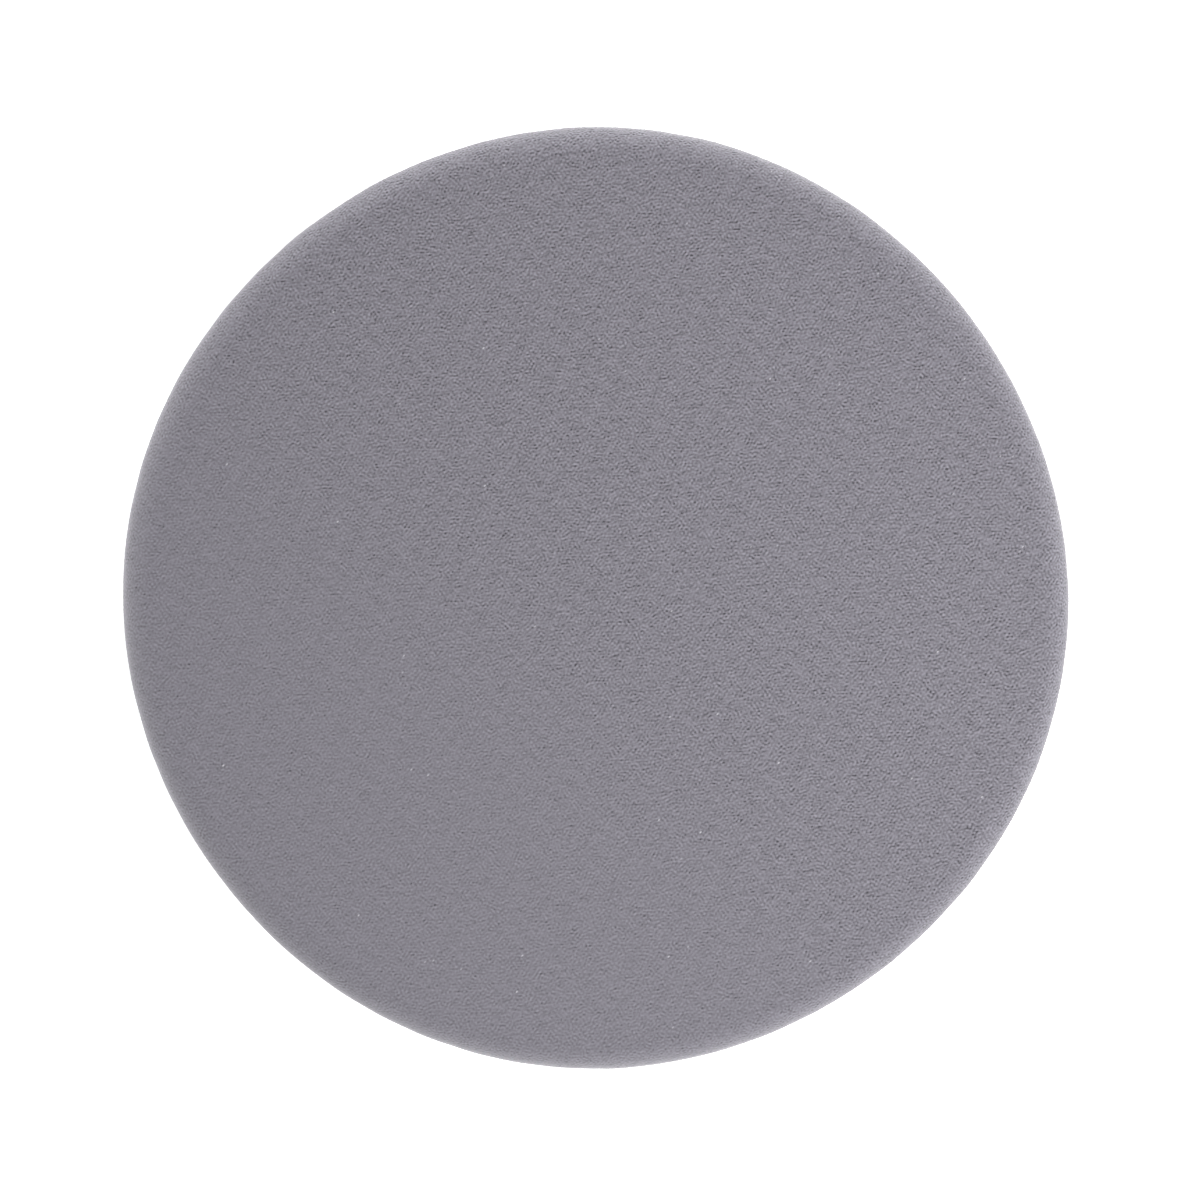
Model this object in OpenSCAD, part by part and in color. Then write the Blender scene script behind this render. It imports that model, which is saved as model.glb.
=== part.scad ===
// Foam polishing pad with a hook-and-loop backing.
// The pad lies on its loop face. The origin is at the centre of that face, and +Z points
// through the layers to the flat foam face that does the work.

/* [Foam] */
// Diameter of the foam disc at its widest
pad_d = 150; // [75:1:200]
// Thickness of the foam
foam_t = 25; // [12:0.5:40]
// Radius of the round that runs from the working face into the side
face_round = 5; // [2:0.5:9]
// Radius of the small round where the foam is pinched against the backing
back_round = 1; // [0.5:0.1:2]

/* [Backing] */
// How far the backing stays inside the foam's edge, all round
backing_inset = 1; // [1:0.1:3]
// Thickness of the hot-melt film that joins the foam and the cloth
film_t = 0.15; // [0.1:0.05:0.6]
// Thickness of the knitted ground cloth
cloth_t = 0.6; // [0.4:0.05:1.2]
// Height of the brushed nylon loops that stand on the cloth
loop_h = 1.6; // [0.8:0.1:2.5]

/* [Hidden] */
$fn = 180;

pad_r = pad_d / 2;
backing_r = pad_r - backing_inset;
cloth_z = loop_h;
film_z = cloth_z + cloth_t;
foam_z = film_z + film_t;

// Half outline of the foam: straight side, large round above, small round below
module foam_outline() {
    square([pad_r - face_round, foam_t]);
    translate([0, back_round]) square([pad_r, foam_t - face_round - back_round]);
    square([pad_r - back_round, foam_t / 2]);
    translate([pad_r - face_round, foam_t - face_round]) circle(face_round);
    translate([pad_r - back_round, back_round]) circle(back_round);
}

// One flat round layer of the backing
module backing_layer(z, t) {
    translate([0, 0, z]) cylinder(r = backing_r, h = t);
}

// Open-cell polyurethane foam, the working part of the pad
module foam_disc() {
    color([0.54, 0.53, 0.56])
        translate([0, 0, foam_z]) rotate_extrude() foam_outline();
}

// Hot-melt film between foam and cloth
module bonding_film() {
    color([0.81, 0.79, 0.73]) backing_layer(film_z, film_t);
}

// Warp-knitted cloth that carries the loops
module loop_ground_cloth() {
    color([0.47, 0.47, 0.48]) backing_layer(cloth_z, cloth_t);
}

// Closed outer shape of the standing loops, which the hooks of a backing plate grip
module loop_pile() {
    color([0.53, 0.53, 0.54]) backing_layer(0, loop_h);
}

foam_disc();
bonding_film();
loop_ground_cloth();
loop_pile();
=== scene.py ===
import math
import random

import bmesh
import bpy
import numpy as np
from mathutils import Matrix, Vector


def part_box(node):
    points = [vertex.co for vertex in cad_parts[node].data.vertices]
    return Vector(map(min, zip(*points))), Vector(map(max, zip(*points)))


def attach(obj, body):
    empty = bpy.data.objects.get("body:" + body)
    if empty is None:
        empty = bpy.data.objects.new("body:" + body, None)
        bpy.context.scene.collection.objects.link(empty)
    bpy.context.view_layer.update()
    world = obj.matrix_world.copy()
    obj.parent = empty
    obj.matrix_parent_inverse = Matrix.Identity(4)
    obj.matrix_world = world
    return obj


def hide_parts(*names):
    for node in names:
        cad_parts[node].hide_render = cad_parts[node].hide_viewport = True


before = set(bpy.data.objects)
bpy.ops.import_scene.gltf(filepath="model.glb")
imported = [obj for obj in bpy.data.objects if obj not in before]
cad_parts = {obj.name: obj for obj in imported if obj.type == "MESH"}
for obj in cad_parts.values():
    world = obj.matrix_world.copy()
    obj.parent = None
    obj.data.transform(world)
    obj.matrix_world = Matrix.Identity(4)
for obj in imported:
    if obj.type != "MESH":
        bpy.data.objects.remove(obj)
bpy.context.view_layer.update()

mm = 0.001
levelGap = 0.01 * mm         # corners closer in height than this are on one level


def linearColour(hexText):
    parts = [int(hexText[i:i + 2], 16) / 255 for i in (1, 3, 5)]
    return [c / 12.92 if c <= 0.04045 else ((c + 0.055) / 1.055) ** 2.4 for c in parts] + [1.0]


def addNode(tree, kind, sockets=None, **settings):
    # sockets gives each input a value, or another node's output to link
    node = tree.nodes.new(kind)
    for name, value in settings.items():
        setattr(node, name, value)
    for name, value in (sockets or {}).items():
        if isinstance(value, bpy.types.NodeSocket):
            tree.links.new(value, node.inputs[name])
        else:
            node.inputs[name].default_value = value
    return node


def newMaterial(name):
    material = bpy.data.materials.new(name)
    material.use_nodes = True
    tree = material.node_tree
    return material, tree, tree.nodes["Principled BSDF"]


def span(node):
    # a round node's radius, and its lowest and highest height
    low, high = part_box(node)
    return (high[0] - low[0]) / 2, low[2], high[2]


def placeMesh(name, mesh, material):
    mesh.name = name
    mesh.materials.clear()
    mesh.materials.append(material)
    mesh.shade_smooth()
    piece = bpy.data.objects.new(name, mesh)
    bpy.context.collection.objects.link(piece)
    return piece


def placeBmesh(name, bm, material):
    mesh = bpy.data.meshes.new(name)
    bm.to_mesh(mesh)
    bm.free()
    return placeMesh(name, mesh, material)


def waves(places, shortest, longest, count, seed, crowd=2, lean=0.0):
    # A random surface that is alike everywhere and has a spread of 1: the sum of many plane
    # waves between two lengths. crowd above 2 makes more of them short, and lean makes those
    # that run up the face the higher.
    pick = np.random.default_rng(seed)
    way = pick.normal(size=(count, places.shape[1]))
    way /= np.linalg.norm(way, axis=1)[:, None]
    turns = 2 * math.pi * pick.uniform(longest ** -crowd, shortest ** -crowd, count) ** (1 / crowd)
    height = 1 + lean * (np.abs(way[:, 1]) - 2 / math.pi)
    height /= np.sqrt((height ** 2).sum() / 2)
    start = pick.uniform(0, 2 * math.pi, count)
    way, height, start = (a.astype(np.float32) for a in (way * turns[:, None], height, start))
    total = np.zeros(len(places), np.float32)
    for w, h, s in zip(way, height, start):
        total += h * np.cos(places @ w + s)
    return total


foam = {
    "spacing": 0.22 * mm,        # of the mesh that carries the cells
    "segments": 360,
    "faceRound": 5.0 * mm,
    "backRound": 1.0 * mm,
    "rimSteps": 12,
    "lobes": ((2, 0.17 * mm, 166), (4, 0.27 * mm, 82)),   # of the cut: count, height, degrees
    "waist": 0.35 * mm,          # how far a die cut leaves the side hollow
    "cutWander": (6 * mm, 40 * mm, 0.02 * mm),    # unevenness of the cut: lengths, height
    "swell": (15 * mm, 90 * mm, 0.04 * mm),       # the same for the working face
    "slowWaves": (60, 40),       # how many waves make up those two
    "cells": (0.45 * mm, 0.82 * mm),              # least and most from one cell to the next
    "cellWaves": 300,
    "cellCrowd": 5,              # most cells are nearer the least than the most
    "clumps": (0.82 * mm, 12 * mm, 0.4),          # groups of open cells: lengths, share
    "clumpWaves": 160,
    "lean": 0.55,                # how much wider than high the cells lie
    "closed": 0.12,              # how far the walls are broad and the openings narrow
    "sideFade": 0.44,               # how much shallower the cells and their painted shade are towards -X -Y
    "change": (-0.22, 4),        # where across the disc that changes, and how fast
    "bonded": 0.04,              # share of the thickness that the backing holds in shape
    "relief": 0.03 * mm,
    "fine": 0.606 * mm,          # from one of the fine cells in the colour to the next
    "fineDepth": 5.5,            # how strongly they show beside the others
    "fineLean": 0.2,             # how much wider than high they lie
    "glints": 60,                # cell walls that happen to face the light
    "glintRange": (0.3, 1),      # how bright those are
    "glintTilt": 0.8,            # least upward part of the normal where they lie
    "seed": 7,
}


def foamBlank(radius, low, high):
    # a cylinder with its two rims rounded, remeshed to an even spacing
    bm = bmesh.new()
    bmesh.ops.create_cone(bm, cap_ends=True, cap_tris=False, segments=foam["segments"],
                          radius1=radius, radius2=radius, depth=high - low)
    bmesh.ops.translate(bm, verts=bm.verts, vec=(0, 0, (low + high) / 2))
    for height, offset in ((high, foam["faceRound"]), (low, foam["backRound"])):
        rim = [e for e in bm.edges if all(abs(v.co.z - height) < levelGap for v in e.verts)]
        bmesh.ops.bevel(bm, geom=rim, offset=offset, offset_type="OFFSET", affect="EDGES",
                        segments=foam["rimSteps"], profile=0.5, material=-1)
    blank = placeBmesh("blank", bm, None)
    remesh = blank.modifiers.new("even", "REMESH")
    remesh.mode = "VOXEL"
    remesh.voxel_size = foam["spacing"]
    shape = blank.evaluated_get(bpy.context.evaluated_depsgraph_get())
    mesh = bpy.data.meshes.new_from_object(shape)
    bpy.data.objects.remove(blank)
    return mesh


def closeUnderside(mesh, low):
    # the bonded underside is flat, so one face closes it
    bm = bmesh.new()
    bm.from_mesh(mesh)
    everything = list(bm.verts) + list(bm.edges) + list(bm.faces)
    cut = bmesh.ops.bisect_plane(bm, geom=everything, plane_co=(0, 0, low + foam["spacing"] / 2),
                                 plane_no=(0, 0, 1), clear_inner=True)["geom_cut"]
    ring = [e for e in cut if isinstance(e, bmesh.types.BMEdge)]
    for v in {v for e in ring for v in e.verts}:
        v.co.z = low
    bmesh.ops.contextual_create(bm, geom=ring)
    bmesh.ops.recalc_face_normals(bm, faces=bm.faces)
    bm.to_mesh(mesh)
    bm.free()


def layFlat(co, radius, high):
    # the foam's skin laid flat: each point as far from the middle as it is along the surface
    bend = foam["faceRound"]
    r = np.hypot(co[:, 0], co[:, 1])
    below = high - co[:, 2]
    turn = np.arctan2(r - (radius - bend), np.maximum(bend - below, 0))
    along = np.where(below > bend, radius - bend + bend * math.pi / 2 + below - bend,
                     np.where(r > radius - bend, radius - bend + bend * turn, r))
    return co[:, :2] * (along / np.maximum(r, 1e-9))[:, None]


# shares of the square that the colours are baked to
bakePlaces = {
    "face": (0.385, 0.615, 0.38),            # centre and radius of the face with its round
    "underside": (0.885, 0.885, 0.105),
    "strips": (0.01, 0.12),                  # where the two halves of the side start
    "stripHeight": 0.095,
    "stripEnds": (0.005, 0.995),
}


def addBakeMap(mesh, co, skin, radius, low, high):
    # the face and its round in one piece, the side as two strips, and the underside small
    corner = np.empty(len(mesh.loops), np.int32)
    sides = np.empty(len(mesh.polygons), np.int32)
    middle = np.empty(len(mesh.polygons) * 3, np.float32)
    mesh.loops.foreach_get("vertex_index", corner)
    mesh.polygons.foreach_get("loop_total", sides)
    mesh.polygons.foreach_get("center", middle)
    middle = np.repeat(middle.reshape(-1, 3), sides, axis=0)
    place = co[corner]

    x, y, size = bakePlaces["face"]
    reach = radius + foam["faceRound"] * (math.pi / 2 - 1)
    onFace = skin[corner] / reach * size + (x, y)
    x, y, size = bakePlaces["underside"]
    onUnderside = place[:, :2] / radius * size + (x, y)
    half = np.where(middle[:, 1] >= 0, 1, -1)
    along = np.arctan2(-half * place[:, 0], half * place[:, 1]) / math.pi + 0.5
    out = np.hypot(place[:, 0], place[:, 1]) - (radius - foam["backRound"])
    above = place[:, 2] - low + np.maximum(out, 0)
    left, right = bakePlaces["stripEnds"]
    tall = high - low - foam["faceRound"] + foam["backRound"]
    start = np.where(half > 0, *bakePlaces["strips"])
    onSide = np.column_stack((left + (right - left) * along,
                              start + bakePlaces["stripHeight"] * above / tall))
    isFace = middle[:, 2] > high - foam["faceRound"]
    isUnderside = np.repeat(sides == sides.max(), sides)
    uv = np.where(isUnderside[:, None], onUnderside,
                  np.where(isFace[:, None], onFace, onSide))
    layer = mesh.uv_layers.new(name="OFBake")
    layer.uv.foreach_set("vector", uv.astype(np.float32).ravel())


def makeFoam(material):
    radius, low, high = span("foam_disc")
    mesh = foamBlank(radius, low, high)
    closeUnderside(mesh, low)
    count = len(mesh.vertices)
    co = np.empty(count * 3, np.float32)
    normal = np.empty(count * 3, np.float32)
    mesh.vertices.foreach_get("co", co)
    mesh.vertex_normals.foreach_get("vector", normal)
    co, normal = co.reshape(-1, 3), normal.reshape(-1, 3)
    seed = foam["seed"]

    skin = layFlat(co, radius, high)
    addBakeMap(mesh, co, skin, radius, low, high)
    cells = waves(skin, *foam["cells"], foam["cellWaves"], seed, foam["cellCrowd"], foam["lean"])
    short, long, share = foam["clumps"]
    cells += share * waves(skin, short, long, foam["clumpWaves"], seed + 1, lean=foam["lean"])
    cells /= cells.std()
    cells -= foam["closed"] * (cells ** 2 - 1)
    # the cells and their painted shade grow shallower towards the -X -Y side of the disc
    across = (skin[:, 0] + skin[:, 1]) / math.sqrt(2) / radius
    middle, speed = foam["change"]
    depth = 1 - foam["sideFade"] * (1 - np.tanh(speed * (across - middle))) / 2
    cells *= depth

    up = np.clip((co[:, 2] - low) / (high - low), 0, 1)
    loose = np.clip(up / foam["bonded"], 0, 1)
    angle = np.arctan2(co[:, 1], co[:, 0])
    out = np.hypot(co[:, 0], co[:, 1]) / radius
    radial = sum(h * np.cos(n * (angle - math.radians(top))) for n, h, top in foam["lobes"])
    radial -= foam["waist"] * np.sin(math.pi * up) ** 2
    cutWaves, swellWaves = foam["slowWaves"]
    short, long, height = foam["cutWander"]
    radial += height * waves(co, short, long, cutWaves, seed + 2)
    moved = co.copy()
    moved[:, :2] += co[:, :2] / radius * (radial * out)[:, None]
    short, long, height = foam["swell"]
    moved[:, 2] += height * loose * waves(co, short, long, swellWaves, seed + 3)
    moved += normal * (foam["relief"] * loose * cells)[:, None]
    mesh.vertices.foreach_set("co", moved.ravel())

    pick = np.random.default_rng(seed + 4)
    face = np.flatnonzero(normal[:, 2] > foam["glintTilt"])
    glint = np.zeros(count, np.float32)
    chosen = pick.choice(face, foam["glints"], replace=False)
    glint[chosen] = pick.uniform(*foam["glintRange"], foam["glints"])
    for name, values in (("cellWall", cells), ("cellDepth", depth), ("glint", glint)):
        mesh.attributes.new(name, "FLOAT", "POINT").data.foreach_set("value", values)
    flat = np.column_stack((skin, np.zeros(count)))
    mesh.attributes.new("skin", "FLOAT_VECTOR", "POINT").data.foreach_set("vector", flat.ravel())
    mesh.update()
    return placeMesh("foamDisc", mesh, material)


foamLook = {
    "open": "#454349",       # painted shade inside an open cell
    "wall": "#9f9ca6",       # on a cell wall
    "glint": "#dcdae0",
    "spread": 3.0,           # how far the cells' height goes from the middle colour to an end
    "roughness": 0.9,
    "shine": 0.3,            # open cells scatter most of what would gleam
    "bloom": 0.5,            # strength and width of the light fringe
    "bloomWidth": 0.5,
    "ripples": 2.0,          # of the fine cells in one patch of the noise
}


def makeFoamMaterial():
    # Open-cell polyurethane foam, cut: matt and chalky, with painted shade in the open cells, and
    # a soft light bloom where the surface turns away.
    material, tree, shader = newMaterial("Cut open-cell polyurethane foam")
    # Painted cell shade. Most cells are much the same size, which the even ripple of Gabor noise
    # gives.
    skin = addNode(tree, "ShaderNodeAttribute", attribute_name="skin")
    fine = addNode(tree, "ShaderNodeTexGabor", {"Vector": skin.outputs["Vector"],
                                                "Scale": 1 / foam["fine"] / foamLook["ripples"],
                                                "Frequency": foamLook["ripples"],
                                                "Anisotropy": foam["fineLean"],
                                                "Orientation 2D": math.pi / 2},
                   gabor_type="2D")
    ripple = addNode(tree, "ShaderNodeMath", {0: fine.outputs["Value"], 1: foam["fineDepth"],
                                              2: -foam["fineDepth"] / 2},
                     operation="MULTIPLY_ADD")
    depth = addNode(tree, "ShaderNodeAttribute", attribute_name="cellDepth")
    wall = addNode(tree, "ShaderNodeAttribute", attribute_name="cellWall")
    cell = addNode(tree, "ShaderNodeMath", {0: ripple.outputs["Value"], 1: depth.outputs["Fac"],
                                            2: wall.outputs["Fac"]},
                   operation="MULTIPLY_ADD")
    part = addNode(tree, "ShaderNodeMapRange", {"Value": cell.outputs["Value"],
                                                "From Min": -foamLook["spread"],
                                                "From Max": foamLook["spread"]})
    # painted shade: dark where the cells lie deep, light on their walls
    shade = addNode(tree, "ShaderNodeMix", {"Factor": part.outputs["Result"],
                                            "A": linearColour(foamLook["open"]),
                                            "B": linearColour(foamLook["wall"])},
                    data_type="RGBA")
    glint = addNode(tree, "ShaderNodeAttribute", attribute_name="glint")
    lit = addNode(tree, "ShaderNodeMix", {"Factor": glint.outputs["Fac"],
                                          "A": shade.outputs["Result"],
                                          "B": linearColour(foamLook["glint"])},
                  data_type="RGBA")
    tree.links.new(lit.outputs["Result"], shader.inputs["Base Color"])
    shader.inputs["Roughness"].default_value = foamLook["roughness"]
    shader.inputs["Specular IOR Level"].default_value = foamLook["shine"]
    shader.inputs["Sheen Weight"].default_value = foamLook["bloom"]
    shader.inputs["Sheen Roughness"].default_value = foamLook["bloomWidth"]
    return material


foamDisc = makeFoam(makeFoamMaterial())
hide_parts("foam_disc")
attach(foamDisc, "root")
print("foam disc made:", len(foamDisc.data.polygons), "faces")


layerRimSteps = 2
rimWaves = 60            # how many waves make up the unevenness of a cut layer


def roundLayer(radius, low, high, soft, segments):
    # a thin round layer with both rims slightly rounded
    bm = bmesh.new()
    bmesh.ops.create_cone(bm, cap_ends=True, cap_tris=False, segments=segments,
                          radius1=radius, radius2=radius, depth=high - low)
    bmesh.ops.translate(bm, verts=bm.verts, vec=(0, 0, (low + high) / 2))
    rims = [e for e in bm.edges if abs(e.verts[0].co.z - e.verts[1].co.z) < levelGap]
    bmesh.ops.bevel(bm, geom=rims, offset=soft, offset_type="OFFSET", affect="EDGES",
                    segments=layerRimSteps, profile=0.5, material=-1)
    return bm


def unevenRim(bm, radius, wander, seed):
    # moves the rim inwards here and there, and nothing near the middle
    short, long, height = wander
    co = np.array([v.co[:] for v in bm.verts])
    out = waves(co, short, long, rimWaves, seed)
    for v, o in zip(bm.verts, out):
        share = math.hypot(v.co.x, v.co.y) / radius
        scale = 1 + min(0.0, height * (float(o) - 1)) / radius * share
        v.co.xy = v.co.xy * scale


film = {
    "soft": 0.04 * mm,
    "segments": 480,
    "wander": (2.5 * mm, 12 * mm, 0.12 * mm),    # where the melt stopped short: lengths, height
    "tint": "#cfcabb",
    "cloud": 3 * mm,             # size of the cloudy patches
    "cloudDetail": 3.0,
    "roughness": (0.2, 0.42),    # in the clearest and the cloudiest patch
    "ior": 1.5,
    "seed": 21,
}


def makeFilm():
    # Hot-melt polyurethane film, pressed while soft: a thin shiny line, a little cloudy
    material, tree, shader = newMaterial("Hot-melt polyurethane film")
    place = addNode(tree, "ShaderNodeTexCoord")
    cloud = addNode(tree, "ShaderNodeTexNoise", {"Vector": place.outputs["Object"],
                                                 "Scale": 1 / film["cloud"],
                                                 "Detail": film["cloudDetail"]})
    clear, cloudy = film["roughness"]
    gloss = addNode(tree, "ShaderNodeMapRange", {"Value": cloud.outputs["Fac"],
                                                 "To Min": clear, "To Max": cloudy})
    tree.links.new(gloss.outputs["Result"], shader.inputs["Roughness"])
    shader.inputs["Base Color"].default_value = linearColour(film["tint"])
    shader.inputs["IOR"].default_value = film["ior"]
    radius, low, high = span("bonding_film")
    bm = roundLayer(radius, low, high, film["soft"], film["segments"])
    unevenRim(bm, radius, film["wander"], film["seed"])
    return placeBmesh("bondingFilm", bm, material)


bondingFilm = makeFilm()
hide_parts("bonding_film")
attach(bondingFilm, "root")
print("bonding film made")


cloth = {
    "soft": 0.15 * mm,
    "segments": 720,
    "wander": (0.8 * mm, 6 * mm, 0.08 * mm),     # the cut edge: lengths, height
    "wale": 1.3 * mm,            # from one rib of the knit to the next
    "course": 0.9 * mm,          # from one row of stitches to the next
    "thread": "#8c8c90",
    # painted shade between the stitches
    "gapShade": "#5c5c60",
    "waver": 0.6,                # how far the ribs and rows stray from straight
    "waverDetail": (1.0, 2.0),   # detail and its scale
    "bump": (0.6, 0.15 * mm),    # strength and height of the stitches
    "roughness": 0.8,
    "fuzz": 0.3,
    "seed": 31,
}
bandScale = math.pi / 10         # Blender's wave bands repeat every pi / 10 / scale


def makeCloth():
    # Warp-knitted nylon: matt, ribbed along the wales, with painted shade between the stitches
    material, tree, shader = newMaterial("Warp-knitted nylon ground")
    place = addNode(tree, "ShaderNodeTexCoord")
    detail, detailScale = cloth["waverDetail"]
    ribs = addNode(tree, "ShaderNodeTexWave", {"Vector": place.outputs["Object"],
                                               "Scale": bandScale / cloth["wale"],
                                               "Distortion": cloth["waver"],
                                               "Detail": detail, "Detail Scale": detailScale},
                   wave_type="BANDS", bands_direction="X")
    rows = addNode(tree, "ShaderNodeTexWave", {"Vector": place.outputs["Object"],
                                               "Scale": bandScale / cloth["course"],
                                               "Distortion": cloth["waver"],
                                               "Detail": detail, "Detail Scale": detailScale},
                   wave_type="BANDS", bands_direction="Y")
    stitch = addNode(tree, "ShaderNodeMath", {0: ribs.outputs["Fac"], 1: rows.outputs["Fac"]},
                     operation="MULTIPLY")
    # painted shade: darker where the stitch bump is low
    shade = addNode(tree, "ShaderNodeMix", {"Factor": stitch.outputs["Value"],
                                            "A": linearColour(cloth["gapShade"]),
                                            "B": linearColour(cloth["thread"])},
                    data_type="RGBA")
    strength, height = cloth["bump"]
    bump = addNode(tree, "ShaderNodeBump", {"Height": stitch.outputs["Value"],
                                            "Strength": strength, "Distance": height})
    tree.links.new(shade.outputs["Result"], shader.inputs["Base Color"])
    tree.links.new(bump.outputs["Normal"], shader.inputs["Normal"])
    shader.inputs["Roughness"].default_value = cloth["roughness"]
    shader.inputs["Sheen Weight"].default_value = cloth["fuzz"]
    radius, low, high = span("loop_ground_cloth")
    bm = roundLayer(radius, low, high, cloth["soft"], cloth["segments"])
    unevenRim(bm, radius, cloth["wander"], cloth["seed"])
    return placeBmesh("loopGroundCloth", bm, material)


loopGroundCloth = makeCloth()
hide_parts("loop_ground_cloth")
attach(loopGroundCloth, "root")
print("loop ground cloth made")


pile = {
    "rows": 1.9 * mm,            # from one row of loops to the next
    "steps": 2.05 * mm,          # from one loop to the next in a row
    "rimStep": 1.2 * mm,         # the same along one more round of loops near the cut edge
    "stray": 0.3,                # how far a loop leaves its place, as a share of a step
    "halfWidth": 0.6 * mm,
    "strand": 0.17 * mm,         # radius of one bundle of filaments, coarse enough to show
    "bendSteps": 4,
    "sizes": (0.8, 1.15),
    "lean": 24,                  # degrees, to any side
    "turn": 55,                  # degrees, either way from along the row
    "root": 0.1 * mm,            # how far the ends go into the cloth
    "light": "#9a9a9e",
    "dark": "#6f6f74",
    "patch": 2.2 * mm,           # size of the lighter and darker patches, about one loop
    "patchDetail": 2.0,
    "roughness": 0.45,
    "ior": 1.53,
    "fuzz": 0.2,
    "seed": 41,
}


def oneLoop(reach):
    # a loop that hangs from z = 0 to -reach: a bundle bent through half a turn, with two legs
    bm = bmesh.new()
    bend = pile["halfWidth"]
    bmesh.ops.create_circle(bm, segments=3, radius=pile["strand"])
    bmesh.ops.translate(bm, verts=bm.verts, vec=(bend, 0, 0))
    bmesh.ops.spin(bm, geom=bm.edges[:], cent=(0, 0, 0), axis=(0, 1, 0), angle=math.pi,
                   steps=pile["bendSteps"], use_merge=False)
    ends = [e for e in bm.edges if e.is_boundary]
    legs = bmesh.ops.extrude_edge_only(bm, edges=ends)["geom"]
    drop = reach - bend - pile["strand"]
    bmesh.ops.translate(bm, verts=[v for v in legs if isinstance(v, bmesh.types.BMVert)],
                        vec=(0, 0, drop + pile["root"]))
    bmesh.ops.holes_fill(bm, edges=[e for e in bm.edges if e.is_boundary], sides=3)
    bmesh.ops.translate(bm, verts=bm.verts, vec=(0, 0, -drop))
    bmesh.ops.recalc_face_normals(bm, faces=bm.faces)
    mesh = bpy.data.meshes.new("loop")
    bm.to_mesh(mesh)
    bm.free()
    return mesh


def makePile():
    # Brushed nylon loops: each bundle of filaments has a soft gleam, and they differ a little
    material, tree, shader = newMaterial("Brushed nylon loops")
    place = addNode(tree, "ShaderNodeTexCoord")
    each = addNode(tree, "ShaderNodeTexNoise", {"Vector": place.outputs["Object"],
                                                "Scale": 1 / pile["patch"],
                                                "Detail": pile["patchDetail"]})
    shade = addNode(tree, "ShaderNodeMix", {"Factor": each.outputs["Fac"],
                                            "A": linearColour(pile["dark"]),
                                            "B": linearColour(pile["light"])},
                    data_type="RGBA")
    tree.links.new(shade.outputs["Result"], shader.inputs["Base Color"])
    shader.inputs["Roughness"].default_value = pile["roughness"]
    shader.inputs["IOR"].default_value = pile["ior"]
    shader.inputs["Sheen Weight"].default_value = pile["fuzz"]

    radius, low, high = span("loop_pile")
    loop = oneLoop(high - low)
    pick = random.Random(pile["seed"])
    bm = bmesh.new()
    rows = int(radius // pile["rows"])
    steps = int(radius // pile["steps"])
    places = [((step + (row % 2) / 2) * pile["steps"], row * pile["rows"])
              for row in range(-rows, rows + 1) for step in range(-steps, steps + 1)]
    stray = pile["stray"] * pile["steps"]
    edge = radius - pile["halfWidth"] * pile["sizes"][1]
    around = int(2 * math.pi * edge / pile["rimStep"])
    for n in range(around):
        angle = 2 * math.pi * n / around
        places.append(((edge - stray) * math.cos(angle), (edge - stray) * math.sin(angle)))
    for x, y in places:
        x += pick.uniform(-1, 1) * stray
        y += pick.uniform(-1, 1) * stray
        turn = Matrix.Rotation(math.radians(pick.uniform(-1, 1) * pile["turn"]), 4, "Z")
        lean = Matrix.Rotation(math.radians(pick.uniform(-1, 1) * pile["lean"]), 4, "X")
        tilt = Matrix.Rotation(math.radians(pick.uniform(-1, 1) * pile["lean"]), 4, "Y")
        size = pick.uniform(*pile["sizes"])
        if math.hypot(x, y) > edge:
            continue
        placed = loop.copy()
        placed.transform(Matrix.Translation((x, y, high)) @ turn @ lean @ tilt
                         @ Matrix.Diagonal((size, size, 1, 1)))
        bm.from_mesh(placed)
        bpy.data.meshes.remove(placed)
    bpy.data.meshes.remove(loop)
    return placeBmesh("loopPile", bm, material)


loopPile = makePile()
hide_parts("loop_pile")
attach(loopPile, "root")
print("loop pile made:", len(loopPile.data.polygons), "faces")


studio = {
    "floorSide": 8.0,
    "floorColour": "#f2f2f2",
    "floorGlow": 0.75,
    "floorRoughness": 0.8,
    "horizon": 0.8,              # brightness of the walls, and of what is overhead
    "overhead": 0.1,
    "wallTop": (7, 30),          # degrees above the floor between which the walls fade
    "frameShare": 0.7854,        # the disc's width as a share of the frame's
    "silhouette": 0.86,          # how far down the round the outline is seen
    "offCentre": (0.70 * mm, -0.34 * mm),
    "lens": 100,                 # focal length and sensor width, in millimetres
    "sensor": 36,
    "boxDistance": 0.65,         # of every softbox, and how wide each is, in metres
    "boxSize": 0.35,
}

# azimuth anticlockwise from +X seen from above, elevation, power in watts
softboxes = {
    "sideKey": (0, 50, 2.84),
    "frontKey": (-45, 50, 1.72),
    "lowBack": (90, 8, 1.62),
    "lowBackLeft": (135, 8, 2.81),
    "lowFrontLeft": (-135, 8, 1.36),
}


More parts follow.
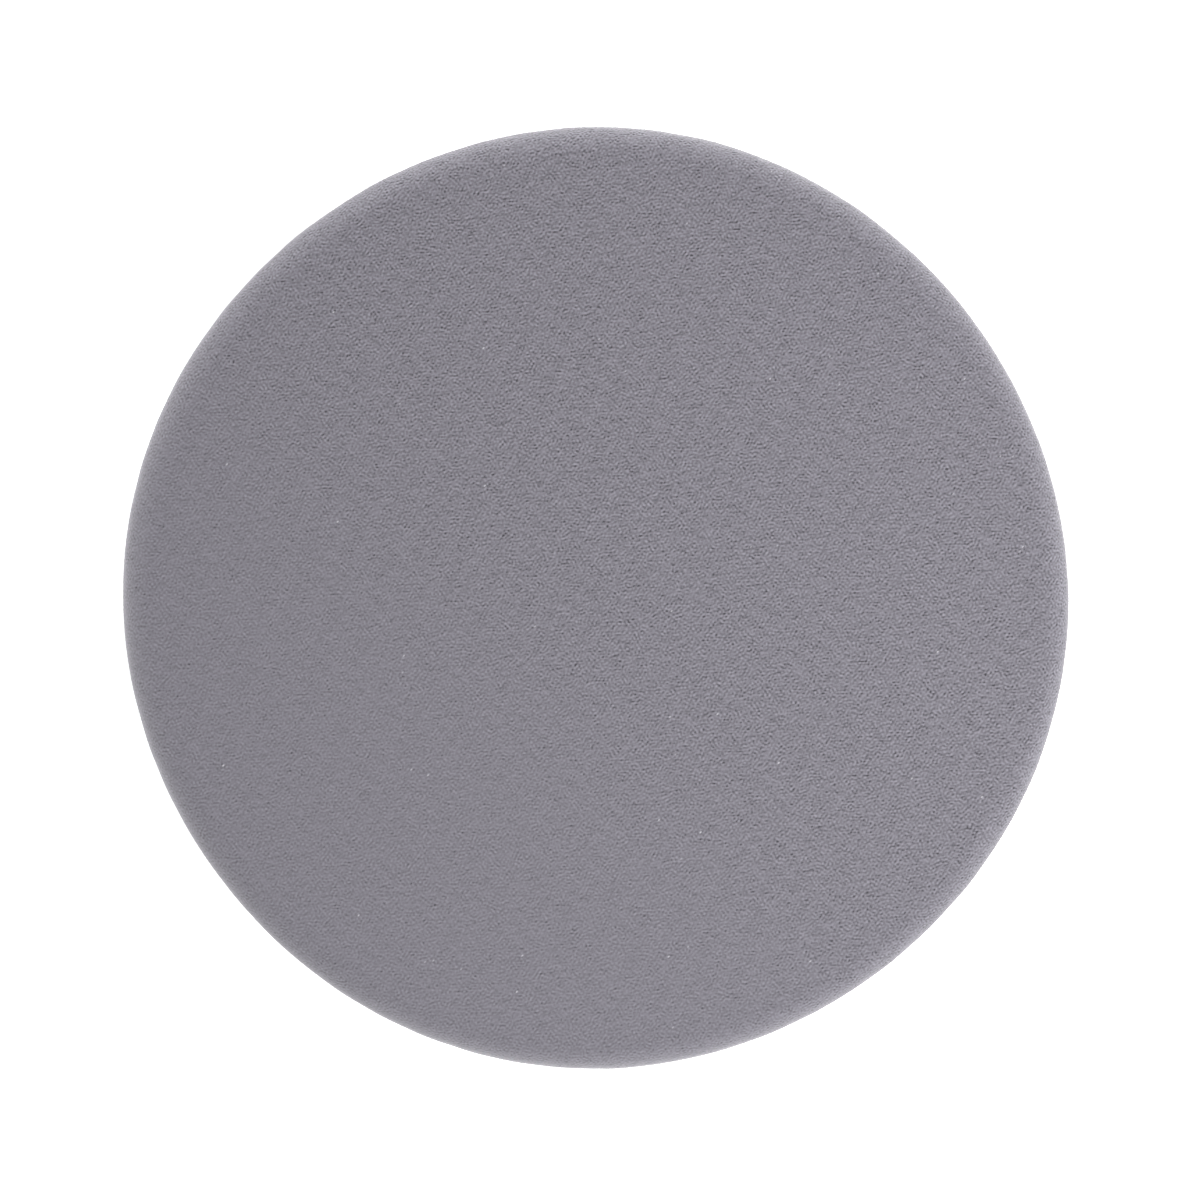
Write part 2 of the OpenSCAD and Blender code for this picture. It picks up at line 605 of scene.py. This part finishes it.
def makeFloor():
    # Opal acrylic light table: an even glow from below keeps it white right up to the pad
    material, tree, shader = newMaterial("Opal acrylic, lit from below")
    shader.inputs["Base Color"].default_value = linearColour(studio["floorColour"])
    shader.inputs["Roughness"].default_value = studio["floorRoughness"]
    shader.inputs["Specular IOR Level"].default_value = 0.0
    shader.inputs["Emission Color"].default_value = linearColour("#ffffff")
    shader.inputs["Emission Strength"].default_value = studio["floorGlow"]
    bm = bmesh.new()
    bmesh.ops.create_grid(bm, x_segments=1, y_segments=1, size=studio["floorSide"] / 2)
    floor = placeBmesh("floor", bm, material)


def makeWalls():
    # white studio walls all round, and a dim ceiling
    world = bpy.data.worlds.new("studio")
    bpy.context.scene.world = world
    world.use_nodes = True
    tree = world.node_tree
    way = addNode(tree, "ShaderNodeTexCoord")
    part = addNode(tree, "ShaderNodeSeparateXYZ", {"Vector": way.outputs["Generated"]})
    start, end = (math.sin(math.radians(d)) for d in studio["wallTop"])
    fade = addNode(tree, "ShaderNodeMapRange", {"Value": part.outputs["Z"],
                                                "From Min": start, "From Max": end,
                                                "To Min": studio["horizon"],
                                                "To Max": studio["overhead"]},
                   interpolation_type="SMOOTHSTEP")
    tree.links.new(fade.outputs["Result"], tree.nodes["Background"].inputs["Strength"])
    tree.nodes["Background"].inputs["Color"].default_value = linearColour("#ffffff")


def addSoftbox(name, azimuth, elevation, power):
    lamp = bpy.data.lights.new(name, "AREA")
    lamp.shape = "DISK"
    lamp.size = studio["boxSize"]
    lamp.energy = power
    a, e = math.radians(azimuth), math.radians(elevation)
    way = Vector((math.cos(a) * math.cos(e), math.sin(a) * math.cos(e), math.sin(e)))
    box = bpy.data.objects.new(name, lamp)
    box.location = way * studio["boxDistance"]
    box.rotation_euler = way.to_track_quat("Z", "Y").to_euler()
    bpy.context.collection.objects.link(box)


def makeCamera():
    # straight down on the working face
    radius, low, high = span("foam_disc")
    camera = bpy.data.cameras.new("camera")
    camera.lens = studio["lens"]
    camera.sensor_width = studio["sensor"]
    width = 2 * radius / studio["frameShare"]
    height = high - foam["faceRound"] * studio["silhouette"]
    eye = bpy.data.objects.new("camera", camera)
    eye.location = (*studio["offCentre"], height + width * camera.lens / camera.sensor_width)
    bpy.context.collection.objects.link(eye)
    bpy.context.scene.camera = eye


makeFloor()
makeWalls()
for name, place in softboxes.items():
    addSoftbox(name, *place)
makeCamera()
bpy.context.scene.view_settings.view_transform = "Standard"
print("floor, light and camera set")
